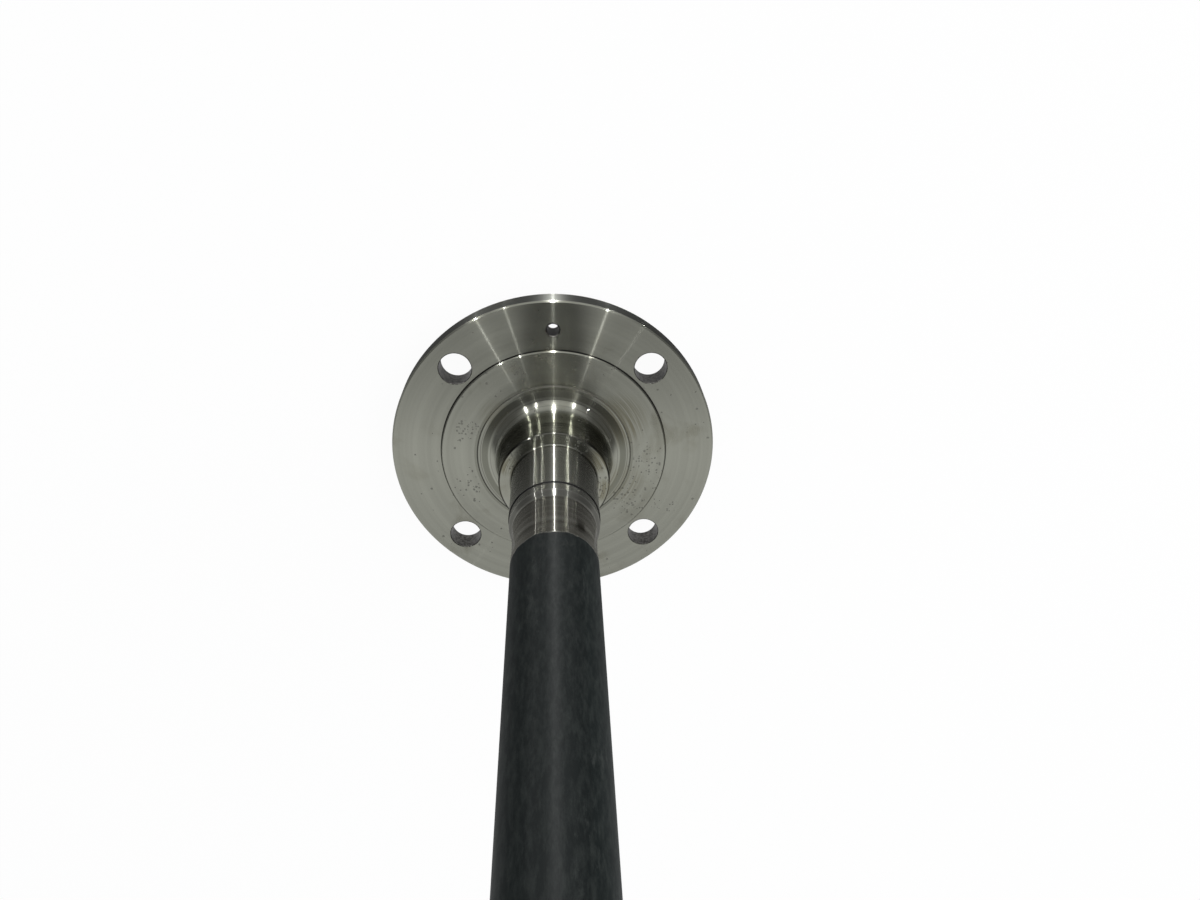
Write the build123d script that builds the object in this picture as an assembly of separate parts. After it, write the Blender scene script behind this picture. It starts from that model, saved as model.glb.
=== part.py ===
from build123d import *
from math import acos, cos, degrees, pi, radians, sin, sqrt, tan
import os

# A rear axle half shaft: one forging, turned at the flange end and splined at the other.
# It stands on the end of its wheel pilot with the shaft up +Z. Sizes are in millimetres.

# Overall
overall_length = 620.0          # end of the pilot to the tip of the spline

# Wheel side: centring pilot with a turned dish and a centre hole
pilot_diameter = 60.0
pilot_height = 8.0
pilot_chamfer = 1.5
dish_diameter = 38.0
dish_depth = 5.0
dish_wall_run = 3.0             # how far the dish narrows towards its floor
relief_width = 2.0              # undercut in the flange face round the pilot
relief_depth = 0.6

# Flange, sized round its stud holes
bolt_circle = 114.3
stud_hole_diameter = 13.5
stud_hole_count = 4
rim_wall = 5.6                  # metal left between a stud hole and the rim
flange_thickness = 9.6          # at the bolt circle
flange_edge = 0.7               # chamfer on both rims
first_stud_angle = 45.0
locating_hole_diameter = 5.0
locating_hole_chamfer = 0.4
locating_hole_angle = 90.0

# Shaft side of the flange: raised land, ring and the sweep up to the bearing collar
land_gap = 1.8                  # flat left between a stud hole and the raised land
land_height = 1.15
land_bevel = 0.8
ring_diameter = 66.4
ring_height = 0.3
ring_width = 1.5
sweep_diameter = 54.6           # where the shallow cone meets the sweep
cone_slope = 14.0               # degrees
sweep_radius = 8.0
collar_diameter = 45.8
collar_height = 24.4            # collar face above the flange at the bolt circle
collar_edge = 0.5

# Ground bearing seat and the lead-in past it
seat_diameter = 35.0
seat_length = 29.0
seat_fillet = 0.8               # in the corner between the seat and the collar
groove_width = 0.6
groove_depth = 0.45
lead_in_diameter = 34.3
lead_in_length = 4.0
lead_in_taper = 2.6

# Turned neck, then the forged body that tapers towards the spline end
neck_diameter = 31.5
neck_small_diameter = 30.7
neck_length = 16.0
scale_step_length = 4.5         # machined skin runs out into the forged one
body_diameter = 31.3
body_small_diameter = 29.2
body_taper_length = 133.0

# Splined end
spline_teeth = 28
spline_module = 1.0
spline_pressure_angle = 30.0
spline_length = 58.0            # full-depth teeth, measured from the tip
spline_root_clearance = 0.1
hob_radius = 32.0               # the cutter's sweep where the teeth run out
journal_length = 74.0           # turned to the spline's outside diameter
journal_step = 1.0
tip_chamfer = 1.5

# Centre holes at both ends
centre_mouth_diameter = 9.0
centre_drill_diameter = 3.2
centre_drill_depth = 3.0        # below the 60 degree cone
centre_cone_angle = 60.0
drill_point_angle = 118.0

cut_past = 1.0                  # how far a cutter runs beyond what it cuts

# Diameters worked out from the stud holes
flange_diameter = bolt_circle + stud_hole_diameter + 2 * rim_wall
land_diameter = bolt_circle - stud_hole_diameter - 2 * land_gap

# Heights worked out from the sizes above
flange_face_z = pilot_height
annulus_z = flange_face_z + flange_thickness
land_z = annulus_z + land_height
ring_z = land_z + ring_height
collar_z = annulus_z + collar_height
seat_end_z = collar_z + seat_length
lead_in_end_z = seat_end_z + groove_width + lead_in_length
neck_start_z = lead_in_end_z + lead_in_taper
neck_end_z = neck_start_z + neck_length
body_start_z = neck_end_z + scale_step_length
body_parallel_z = body_start_z + body_taper_length
journal_z = overall_length - journal_length

# Spline radii
spline_pitch_radius = spline_teeth * spline_module / 2
spline_major_radius = spline_pitch_radius + spline_module / 2
spline_root_radius = spline_pitch_radius - spline_module / 2 - spline_root_clearance
spline_base_radius = spline_pitch_radius * cos(radians(spline_pressure_angle))


def centre_hole(mouth_z, inward):
    """Half section of a centre hole, from its tip on the axis out to its mouth."""
    mouth_r = centre_mouth_diameter / 2
    drill_r = centre_drill_diameter / 2
    cone_end_z = mouth_z + inward * (mouth_r - drill_r) / tan(radians(centre_cone_angle / 2))
    drill_end_z = cone_end_z + inward * centre_drill_depth
    point_z = drill_end_z + inward * drill_r / tan(radians(drill_point_angle / 2))
    return [(0, point_z), (drill_r, drill_end_z), (drill_r, cone_end_z), (mouth_r, mouth_z)]


def wheel_side():
    """Dish, pilot, undercut and flange face, out to the rim and over it to the bolt circle."""
    dish_r = dish_diameter / 2
    pilot_r = pilot_diameter / 2
    rim_r = flange_diameter / 2
    relief_z = flange_face_z + relief_depth
    return centre_hole(dish_depth, 1) + [
        (dish_r - dish_wall_run, dish_depth),
        (dish_r, 0),
        (pilot_r - pilot_chamfer, 0),
        (pilot_r, pilot_chamfer),
        (pilot_r, relief_z),
        (pilot_r + relief_width, relief_z),
        (pilot_r + relief_width, flange_face_z),
        (rim_r - flange_edge, flange_face_z),
        (rim_r, flange_face_z + flange_edge),
        (rim_r, annulus_z - flange_edge),
        (rim_r - flange_edge, annulus_z),
    ]


def land_and_ring():
    """Raised land, the low ring on it and the shallow cone down to the start of the sweep."""
    land_r = land_diameter / 2
    ring_r = ring_diameter / 2
    cone_start_r = ring_r - ring_height - ring_width
    return [
        (land_r, annulus_z),
        (land_r, land_z - land_bevel),
        (land_r - land_bevel, land_z),
        (ring_r, land_z),
        (ring_r - ring_height, ring_z),
        (cone_start_r, ring_z),
        (sweep_diameter / 2, ring_z + (cone_start_r - sweep_diameter / 2) * tan(radians(cone_slope))),
    ]


def sweep_to_collar(start):
    """Middle and end of the arc that rises from the cone and ends upright on the collar."""
    collar_r = collar_diameter / 2
    centre_r = collar_r + sweep_radius
    rise = sqrt(sweep_radius**2 - (centre_r - start[0]) ** 2)
    centre_z = start[1] + rise
    half_angle = acos((centre_r - start[0]) / sweep_radius) / 2
    middle = (centre_r - sweep_radius * cos(half_angle), centre_z - sweep_radius * sin(half_angle))
    return middle, (collar_r, centre_z)


def collar():
    """Collar edge and the flat face that the bearing stands against."""
    collar_r = collar_diameter / 2
    return [
        (collar_r, collar_z - collar_edge),
        (collar_r - collar_edge, collar_z),
        (seat_diameter / 2 + seat_fillet, collar_z),
    ]


def seat_corner():
    """Middle and end of the small fillet between the collar's face and the seat."""
    seat_r = seat_diameter / 2
    inset = seat_fillet * (1 - cos(radians(45)))
    return (seat_r + inset, collar_z + inset), (seat_r, collar_z + seat_fillet)


def shaft_side():
    """Bearing seat, lead-in, neck, forged body and spline blank, up to the tip."""
    seat_r = seat_diameter / 2
    lead_in_r = lead_in_diameter / 2
    groove_end_z = seat_end_z + groove_width
    return [
        (seat_r, seat_end_z),
        (seat_r - groove_depth, seat_end_z),
        (seat_r - groove_depth, groove_end_z),
        (lead_in_r, groove_end_z),
        (lead_in_r, lead_in_end_z),
        (neck_diameter / 2, neck_start_z),
        (neck_small_diameter / 2, neck_end_z),
        (body_diameter / 2, body_start_z),
        (body_small_diameter / 2, body_parallel_z),
        (body_small_diameter / 2, journal_z),
        (spline_major_radius, journal_z + journal_step),
        (spline_major_radius, overall_length - tip_chamfer),
        (spline_major_radius - tip_chamfer, overall_length),
    ] + centre_hole(overall_length, -1)[::-1]


def turned_blank():
    """The whole forging before drilling and hobbing, spun round the shaft's axis."""
    flange = wheel_side() + land_and_ring()
    sweep_middle, sweep_end = sweep_to_collar(flange[-1])
    shoulder = [sweep_end] + collar()
    corner_middle, corner_end = seat_corner()
    shaft = [corner_end] + shaft_side()
    outline = [
        Polyline(*flange),
        ThreePointArc(flange[-1], sweep_middle, sweep_end),
        Polyline(*shoulder),
        ThreePointArc(shoulder[-1], corner_middle, corner_end),
        Polyline(*shaft),
        Line(shaft[-1], flange[0]),
    ]
    return revolve(Plane.XZ * make_face(outline), Axis.Z)


def stud_holes():
    """The press-in wheel studs' holes, right through the flange."""
    depth = land_z + 2 * cut_past - flange_face_z
    drill = Cylinder(stud_hole_diameter / 2, depth, align=(Align.CENTER, Align.CENTER, Align.MIN))
    start = Pos(0, 0, flange_face_z - cut_past)
    places = PolarLocations(bolt_circle / 2, stud_hole_count, start_angle=first_stud_angle)
    return [start * place * drill for place in places]


def locating_hole():
    """Small drum locating hole on the bolt circle, chamfered on the shaft side."""
    radius = locating_hole_diameter / 2
    mouth = radius + locating_hole_chamfer
    profile = Polyline(
        (0, flange_face_z - cut_past),
        (radius, flange_face_z - cut_past),
        (radius, annulus_z - locating_hole_chamfer),
        (mouth, annulus_z),
        (mouth, land_z + cut_past),
        (0, land_z + cut_past),
        close=True,
    )
    cutter = revolve(Plane.XZ * make_face(profile), Axis.Z)
    turn = radians(locating_hole_angle)
    return Pos(bolt_circle / 2 * cos(turn), bolt_circle / 2 * sin(turn), 0) * cutter


def involute(pressure):
    """Involute function of an angle in radians."""
    return tan(pressure) - pressure


def flank_point(radius):
    """A point on the flank of the tooth space centred on +X."""
    widening = involute(acos(spline_base_radius / radius)) - involute(radians(spline_pressure_angle))
    half_angle = pi / (2 * spline_teeth) + widening
    return radius * cos(half_angle), radius * sin(half_angle)


def tooth_space_section():
    """Section between two teeth: two involute flanks, the root and a closing line outside."""
    outer = spline_major_radius + spline_module / 2
    low, middle, high = [flank_point(r) for r in (spline_root_radius, spline_pitch_radius, outer)]
    mirrored = [(x, -y) for x, y in (low, middle, high)]
    return make_face([
        ThreePointArc(mirrored[0], (spline_root_radius, 0), low),
        ThreePointArc(low, middle, high),
        Line(high, mirrored[2]),
        ThreePointArc(mirrored[2], mirrored[1], mirrored[0]),
    ])


def tooth_space():
    """One hobbed space: straight from the tip, then rising along the hob's sweep."""
    run_out_z = overall_length - spline_length
    section = Pos(0, 0, run_out_z) * tooth_space_section()
    straight = extrude(section, spline_length + cut_past, dir=(0, 0, 1))
    depth = spline_major_radius - spline_root_radius
    sweep = degrees(acos(1 - 1.5 * depth / hob_radius))
    hob_axis = Axis((spline_root_radius + hob_radius, 0, run_out_z), (0, -1, 0))
    run_out = revolve(section, hob_axis, revolution_arc=sweep)
    return straight + run_out


def spline_spaces():
    """The tooth spaces, one for each tooth."""
    space = tooth_space()
    return [Rot(0, 0, 360 / spline_teeth * number) * space for number in range(spline_teeth)]


def axle_shaft():
    """The finished half shaft as one solid."""
    return turned_blank() - stud_holes() - locating_hole() - spline_spaces()


os.makedirs("parts", exist_ok=True)
export_step(axle_shaft(), "parts/axle_shaft.step")
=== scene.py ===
import bpy
import math
import numpy as np
from mathutils import Matrix, Vector
from mathutils.geometry import delaunay_2d_cdt


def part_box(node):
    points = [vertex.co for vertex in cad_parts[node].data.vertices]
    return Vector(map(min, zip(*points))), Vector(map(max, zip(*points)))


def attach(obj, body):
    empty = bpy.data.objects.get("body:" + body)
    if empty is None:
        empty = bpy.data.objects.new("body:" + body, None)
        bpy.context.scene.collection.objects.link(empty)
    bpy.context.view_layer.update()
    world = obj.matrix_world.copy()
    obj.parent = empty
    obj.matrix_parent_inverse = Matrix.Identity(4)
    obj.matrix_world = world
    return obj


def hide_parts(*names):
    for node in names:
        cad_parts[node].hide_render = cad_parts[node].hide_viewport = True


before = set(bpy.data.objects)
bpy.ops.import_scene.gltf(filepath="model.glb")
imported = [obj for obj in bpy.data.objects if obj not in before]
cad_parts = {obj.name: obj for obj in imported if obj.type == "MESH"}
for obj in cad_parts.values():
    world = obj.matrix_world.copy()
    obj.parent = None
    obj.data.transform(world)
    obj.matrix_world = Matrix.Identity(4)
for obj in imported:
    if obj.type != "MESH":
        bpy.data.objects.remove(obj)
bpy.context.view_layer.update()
mm = 0.001
print("frame loaded")

# Camera, solved from the flange's holes and rims. It stands on the +Y side and looks down along the shaft.
cameraView = {
    "place": (0.0, 176.6, 348.0),       # mm
    "pitch": 27.773,                    # degrees away from straight down
    "yaw": 3.450,
    "roll": 1.321,
    "turn": -0.217,                     # about the shaft, brings the locating hole onto +Y
    "focalPixels": 860.0,
    "photoWidth": 1200.0,
    "sensorWidth": 36.0,                # mm
    "clipStart": 0.01,                  # metres
}


def makeCamera(v):
    pitch, yaw, roll = (math.radians(v[k]) for k in ("pitch", "yaw", "roll"))
    ahead = Vector((math.sin(yaw) * math.cos(pitch), -math.sin(pitch), -math.cos(yaw) * math.cos(pitch)))
    right = ahead.cross(Vector((0, 1, 0))).normalized()
    up = right.cross(ahead)
    across = right * math.cos(roll) + up * math.sin(roll)
    above = up * math.cos(roll) - right * math.sin(roll)
    pose = Matrix((across, above, -ahead)).transposed().to_4x4()
    pose.translation = Vector(v["place"]) * mm
    data = bpy.data.cameras.new("photoCamera")
    data.sensor_width = v["sensorWidth"]
    data.lens = data.sensor_width * v["focalPixels"] / v["photoWidth"]
    data.clip_start = v["clipStart"]
    camera = bpy.data.objects.new("photoCamera", data)
    camera.matrix_world = Matrix.Rotation(math.radians(v["turn"]), 4, "Z") @ pose
    bpy.context.scene.collection.objects.link(camera)
    bpy.context.scene.camera = camera


makeCamera(cameraView)

# The half shaft, in mm. Heights run up from the end of the pilot, as in the frame.
axle = {
    "height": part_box("axle_shaft")[1].z / mm,
    "pilotRadius": 30.0, "pilotHeight": 8.0, "pilotChamfer": 1.5,
    "dishRadius": 19.0, "dishFloorRadius": 16.0, "dishDepth": 5.0,
    "reliefWidth": 2.0, "reliefDepth": 0.6,
    "flangeRadius": 69.5, "flangeThickness": 9.6, "flangeEdge": 0.7,
    "boltCircleRadius": 57.15, "studHoleRadius": 6.75, "studHoles": 4, "firstStudAngle": 45.0,
    "locatingHoleRadius": 2.5, "locatingHoleChamfer": 0.4,
    "landRadius": 48.5, "landHeight": 1.15, "landBevel": 0.55,
    "ringRadius": 33.2, "ringHeight": 0.3, "ringWidth": 1.5,
    "sweepStartRadius": 27.3, "coneSlope": 14.0, "sweepRadius": 8.0,
    "collarRadius": 22.9, "collarHeight": 24.4, "collarEdge": 0.5,
    "seatRadius": 17.5, "seatLength": 29.0, "seatFillet": 0.8,
    "grooveWidth": 0.6, "grooveDepth": 0.45,
    "leadInRadius": 17.15, "leadInLength": 4.0, "leadInTaper": 2.6,
    "neckRadius": 15.75, "neckSmallRadius": 15.35, "neckLength": 16.0,
    "scaleStepLength": 4.5, "bodyRadius": 15.65, "bodySmallRadius": 14.6, "bodyTaperLength": 133.0,
    "splineTeeth": 28, "splineModule": 1.0, "splinePressure": 30.0, "splineLength": 58.0,
    "splineRootClearance": 0.1, "hobRadius": 32.0, "journalLength": 74.0, "journalStep": 1.0,
    "tipChamfer": 1.5,
    "centreMouthRadius": 4.5, "centreDrillRadius": 1.6, "centreDrillDepth": 3.0,
    "centreConeAngle": 60.0, "drillPointAngle": 118.0,
    "edgeBreak": 0.12,                  # rounding of a plain turned edge
    "rounding": {
        "dishFloor": 0.8, "pilot": 0.3, "landFoot": 0.2, "landWall": 0.15, "landTop": 0.25,
        "ringFoot": 0.15, "ringTop": 0.12, "coneStart": 0.8, "sweepStart": 0.3, "collar": 0.2,
        "seatEnd": 0.15, "grooveFloor": 0.1, "grooveEnd": 0.04, "leadIn": 0.05, "leadInEnd": 0.8,
        "neckStart": 3.0, "neckEnd": 8.0, "bodyStart": 8.0, "bodyEnd": 300.0, "journal": 0.5},
    "sweepEase": 0.15,                  # taken off the sweep's radius
    "flatOverlap": 1.0,                 # width of flat face beside a turned strip
    "landOverlap": 0.9, "holeOverlap": 0.2, "tipOverlap": 0.5,
    "grooveSplit": 0.2,                 # height from the groove's end at which seat and shaft meet
    "columnsPerTooth": 12, "flankPoints": 4, "topPoints": 3,
    "toothParts": {"flank": (0, 3), "root": (3, 5), "farFlank": (5, 8), "top": (8, 12)},
    "toothProbes": 200,                 # radii at which a flank is measured
    "runOutRows": 33, "toothRows": 8, "tipRows": 7,
    "arcStep": 15.0,                    # degrees between rows round a small turned corner
    "holeColumns": 72,
    "ringsBetween": 7,                  # rings of points on a flat face
    "holeClearance": 0.8,               # between those points and a hole
}
axle["faceZ"] = axle["pilotHeight"]
axle["annulusZ"] = axle["faceZ"] + axle["flangeThickness"]
axle["landZ"] = axle["annulusZ"] + axle["landHeight"]
axle["collarZ"] = axle["annulusZ"] + axle["collarHeight"]
axle["seatEndZ"] = axle["collarZ"] + axle["seatLength"]
axle["grooveEndZ"] = axle["seatEndZ"] + axle["grooveWidth"]
axle["neckStartZ"] = axle["grooveEndZ"] + axle["leadInLength"] + axle["leadInTaper"]
axle["neckEndZ"] = axle["neckStartZ"] + axle["neckLength"]
axle["bodyStartZ"] = axle["neckEndZ"] + axle["scaleStepLength"]
axle["journalZ"] = axle["height"] - axle["journalLength"]
axle["teethFullZ"] = axle["height"] - axle["splineLength"]
axle["chamferZ"] = axle["height"] - axle["tipChamfer"]
axle["splinePitchRadius"] = axle["splineTeeth"] * axle["splineModule"] / 2
axle["splineMajorRadius"] = axle["splinePitchRadius"] + axle["splineModule"] / 2
axle["splineRootRadius"] = axle["splinePitchRadius"] - axle["splineModule"] / 2 - axle["splineRootClearance"]
columns = axle["splineTeeth"] * axle["columnsPerTooth"]
tiny, noArea, weldDecimals = 1e-6, 1e-9, 4      # shortest length and smallest area in mm, rounding of corners


def roundCorners(corners):
    # Profile of lines and arcs. Each corner (radius, height, rounding) becomes an arc tangent to its sides.
    # Rows of r, z and the outward normal, which is the heading turned a quarter to the right.
    p = np.array([c[:2] for c in corners], float)
    step = np.diff(p, axis=0)
    heading = np.arctan2(step[:, 1], step[:, 0])
    rows = [(*p[0], heading[0])]
    for i in range(1, len(p) - 1):
        bend = (heading[i] - heading[i - 1] + math.pi) % (2 * math.pi) - math.pi
        rounding = corners[i][2]
        back = rounding * math.tan(abs(bend) / 2)
        start = p[i] - back * np.array([math.cos(heading[i - 1]), math.sin(heading[i - 1])])
        count = max(2, math.ceil(math.degrees(abs(bend)) * math.sqrt(max(1, rounding)) / axle["arcStep"]))
        turned = heading[i - 1] + bend * np.linspace(0, 1, count + 1)
        side = math.copysign(rounding, bend)
        r = start[0] + side * (np.sin(turned) - math.sin(turned[0]))
        z = start[1] + side * (math.cos(turned[0]) - np.cos(turned))
        rows += list(zip(r, z, turned))
    rows.append((*p[-1], heading[-1]))
    r, z, way = np.array(rows).T
    return np.stack([r, z, np.sin(way), -np.cos(way)], axis=1)


def centreHole(mouthZ, inward, a):
    # Corners of a centre hole from its tip on the axis out to its mouth.
    mouth, drill, e = a["centreMouthRadius"], a["centreDrillRadius"], a["edgeBreak"]
    coneZ = mouthZ + inward * (mouth - drill) / math.tan(math.radians(a["centreConeAngle"] / 2))
    drillZ = coneZ + inward * a["centreDrillDepth"]
    tipZ = drillZ + inward * drill / math.tan(math.radians(a["drillPointAngle"] / 2))
    return [(0, tipZ, 0), (drill, drillZ, e), (drill, coneZ, e), (mouth, mouthZ, e)]


def wheelSideRows(a):
    # From the axis out over the dish and the pilot to the flange's back.
    e, soft, pilot, face = a["edgeBreak"], a["rounding"]["pilot"], a["pilotRadius"], a["faceZ"]
    relief, reliefEnd = face + a["reliefDepth"], pilot + a["reliefWidth"]
    return roundCorners(centreHole(a["dishDepth"], 1, a) + [
        (a["dishFloorRadius"], a["dishDepth"], a["rounding"]["dishFloor"]),
        (a["dishRadius"], 0, soft),
        (pilot - a["pilotChamfer"], 0, soft),
        (pilot, a["pilotChamfer"], soft),
        (pilot, relief, soft),
        (reliefEnd, relief, soft),
        (reliefEnd, face, e),
        (reliefEnd + a["flatOverlap"], face, 0),
    ])


def rimRows(a):
    # Over the rim, from the flange's back to its front.
    rim, edge, face, annulus = a["flangeRadius"], a["flangeEdge"], a["faceZ"], a["annulusZ"]
    e, flat = a["edgeBreak"], rim - edge - a["flatOverlap"]
    return roundCorners([
        (flat, face, 0),
        (rim - edge, face, e),
        (rim, face + edge, e),
        (rim, annulus - edge, e),
        (rim - edge, annulus, e),
        (flat, annulus, 0),
    ])


def hubRows(a):
    # Raised land, ring, cone, sweep and collar, up to the foot of the bearing seat.
    land, landTop, ring, collar = a["landRadius"], a["landZ"], a["ringRadius"], a["collarRadius"]
    soft, seatFoot = a["rounding"], a["collarZ"] + 2 * a["seatFillet"]
    ringTop = landTop + a["ringHeight"]
    coneStart, sweepStart = ring - a["ringHeight"] - a["ringWidth"], a["sweepStartRadius"]
    sweepZ = ringTop + (coneStart - sweepStart) * math.tan(math.radians(a["coneSlope"]))
    # The sweep is one rounded corner, where its first tangent meets the collar.
    lean = math.acos((collar + a["sweepRadius"] - sweepStart) / a["sweepRadius"])
    cornerZ = sweepZ + (sweepStart - collar) / math.tan(lean)
    return roundCorners([
        (land + a["landOverlap"], a["annulusZ"], 0),
        (land, a["annulusZ"], soft["landFoot"]),
        (land, landTop - a["landBevel"], soft["landWall"]),
        (land - a["landBevel"], landTop, soft["landTop"]),
        (ring, landTop, soft["ringFoot"]),
        (ring - a["ringHeight"], ringTop, soft["ringTop"]),
        (coneStart, ringTop, soft["coneStart"]),
        (sweepStart, sweepZ, soft["sweepStart"]),
        (collar, cornerZ, a["sweepRadius"] - a["sweepEase"]),
        (collar, a["collarZ"] - a["collarEdge"], soft["collar"]),
        (collar - a["collarEdge"], a["collarZ"], soft["collar"]),
        (a["seatRadius"], a["collarZ"], a["seatFillet"]),
        (a["seatRadius"], seatFoot, 0),
    ])


def seatRows(a):
    # Bearing seat, down into the thin groove at its end.
    seat, soft = a["seatRadius"], a["rounding"]
    return roundCorners([
        (seat, a["collarZ"] + 2 * a["seatFillet"], 0),
        (seat, a["seatEndZ"], soft["seatEnd"]),
        (seat - a["grooveDepth"], a["seatEndZ"], soft["grooveFloor"]),
        (seat - a["grooveDepth"], a["grooveEndZ"] - a["grooveSplit"], 0),
    ])


def shaftRows(a):
    # Lead-in, neck, forged body and journal, up to where the teeth begin.
    soft, floor, major = a["rounding"], a["seatRadius"] - a["grooveDepth"], a["splineMajorRadius"]
    return roundCorners([
        (floor, a["grooveEndZ"] - a["grooveSplit"], 0),
        (floor, a["grooveEndZ"], soft["grooveEnd"]),
        (a["leadInRadius"], a["grooveEndZ"], soft["leadIn"]),
        (a["leadInRadius"], a["grooveEndZ"] + a["leadInLength"], soft["leadInEnd"]),
        (a["neckRadius"], a["neckStartZ"], soft["neckStart"]),
        (a["neckSmallRadius"], a["neckEndZ"], soft["neckEnd"]),
        (a["bodyRadius"], a["bodyStartZ"], soft["bodyStart"]),
        (a["bodySmallRadius"], a["bodyStartZ"] + a["bodyTaperLength"], soft["bodyEnd"]),
        (a["bodySmallRadius"], a["journalZ"], soft["journal"]),
        (major, a["journalZ"] + a["journalStep"], soft["journal"]),
        (major, a["teethFullZ"] - runOutLength(a) - a["tipOverlap"], 0),
    ])


def tipRows(a):
    # Tip face inside the chamfer and the centre hole in it.
    first = a["splineMajorRadius"] - a["tipChamfer"] - a["tipOverlap"]
    return roundCorners([(first, a["height"], 0)] + centreHole(a["height"], -1, a)[::-1])


def runOutLength(a):
    # Height over which the hob's arc lifts out of the shaft.
    depth = a["splineMajorRadius"] - a["splineRootRadius"]
    return math.sqrt(a["hobRadius"] ** 2 - (a["hobRadius"] - depth) ** 2)


def involute(pressure):
    return np.tan(pressure) - pressure


def gapHalfAngle(radius, a):
    # Half the angle of a tooth space at a radius, between involute flanks.
    pressure = math.radians(a["splinePressure"])
    local = np.arccos(np.clip(a["splinePitchRadius"] * math.cos(pressure) / radius, -1, 1))
    return math.pi / (2 * a["splineTeeth"]) + involute(local) - involute(pressure)


def toothRow(height, a):
    # Angles and radii of one tooth period at a height: root, flanks and top. The space is moved out by the
    # hob's lift and meets the blank's radius, which shrinks in the tip chamfer.
    root, major, hob = a["splineRootRadius"], a["splineMajorRadius"], a["hobRadius"]
    lift = hob - math.sqrt(hob ** 2 - min(max(a["teethFullZ"] - height, 0), runOutLength(a)) ** 2)
    blank = major - max(height - a["chamferZ"], 0)
    probe = np.linspace(root, major + a["splineModule"] / 2, a["toothProbes"])
    half = gapHalfAngle(probe, a)
    meets = np.interp(blank, np.hypot(probe * np.cos(half) + lift, probe * np.sin(half)), probe)
    flank = root + (meets - root) * np.linspace(1, 0, a["flankPoints"])
    x = flank * np.cos(gapHalfAngle(flank, a)) + lift
    y = flank * np.sin(gapHalfAngle(flank, a))
    angle, radius = np.arctan2(y, x), np.minimum(np.hypot(x, y), blank)
    top = np.linspace(angle[0], 2 * math.pi / a["splineTeeth"] - angle[0], a["topPoints"] + 2)[1:-1]
    return (np.concatenate([-angle, [0], angle[::-1], top]),
            np.concatenate([radius, [min(root + lift, blank)], radius[::-1], np.full(len(top), blank)]))


def quads(points, normals):
    # Corner points and normals of a grid's quads, wound to face the normals' side.
    def corners(g):
        return np.stack([g[:-1, :-1], g[:-1, 1:], g[1:, 1:], g[1:, :-1]], axis=2).reshape(-1, 4, 3)
    p, n = corners(points), corners(normals)
    facing = np.einsum("ij,ij->i", np.cross(p[:, 2] - p[:, 0], p[:, 3] - p[:, 1]), n.mean(axis=1))
    flip = facing < 0
    p[flip], n[flip] = p[flip][:, ::-1], n[flip][:, ::-1]
    return p, n


def triangles(points, normals):
    # A grid's quads as triangles, without those that have shrunk to a line at a pole.
    p, n = quads(points, normals)
    tris = np.concatenate([p[:, [0, 1, 2]], p[:, [0, 2, 3]]])
    tips = np.concatenate([n[:, [0, 1, 2]], n[:, [0, 2, 3]]])
    area = np.linalg.norm(np.cross(tris[:, 1] - tris[:, 0], tris[:, 2] - tris[:, 0]), axis=1)
    return tris[area > noArea], tips[area > noArea]


def carried(radius, height, turn):
    # Points or normals carried round the axis: (r cos t, r sin t, z).
    c, s = np.cos(turn), np.sin(turn)
    return np.stack([radius * c, radius * s, height + 0 * radius * c], axis=-1)


def turnedStrip(rows, count=columns):
    # Profile rows carried once round the axis.
    turn = np.arange(count + 1) * 2 * math.pi / count
    r, z, nr, nz = (rows[:, k, None] for k in range(4))
    return triangles(carried(r, z, turn), carried(nr, nz, turn))


def circle(radius, count, centre=(0.0, 0.0)):
    turn = np.arange(count) * 2 * math.pi / count
    return np.stack([radius * np.cos(turn) + centre[0], radius * np.sin(turn) + centre[1]], axis=1)


def holeList(a):
    # Centre, radius and shaft-side mouth of each hole in the flange.
    holes = []
    for k in range(a["studHoles"]):
        turn = math.radians(a["firstStudAngle"]) + k * 2 * math.pi / a["studHoles"]
        centre = (a["boltCircleRadius"] * math.cos(turn), a["boltCircleRadius"] * math.sin(turn))
        holes.append((centre, a["studHoleRadius"], a["edgeBreak"]))
    return holes + [((0.0, a["boltCircleRadius"]), a["locatingHoleRadius"], a["locatingHoleChamfer"])]


def holeRows(radius, mouth, a):
    # Wall of a hole from the flange's back to its front, both edges broken.
    e, face, annulus = a["edgeBreak"], a["faceZ"], a["annulusZ"]
    rows = roundCorners([
        (radius + e + a["holeOverlap"], face, 0),
        (radius + e, face, e / 2),
        (radius, face + e, e / 2),
        (radius, annulus - mouth, e / 2),
        (radius + mouth, annulus, e / 2),
        (radius + mouth + a["holeOverlap"], annulus, 0),
    ])
    rows[:, 2:] *= -1
    return rows


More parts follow.
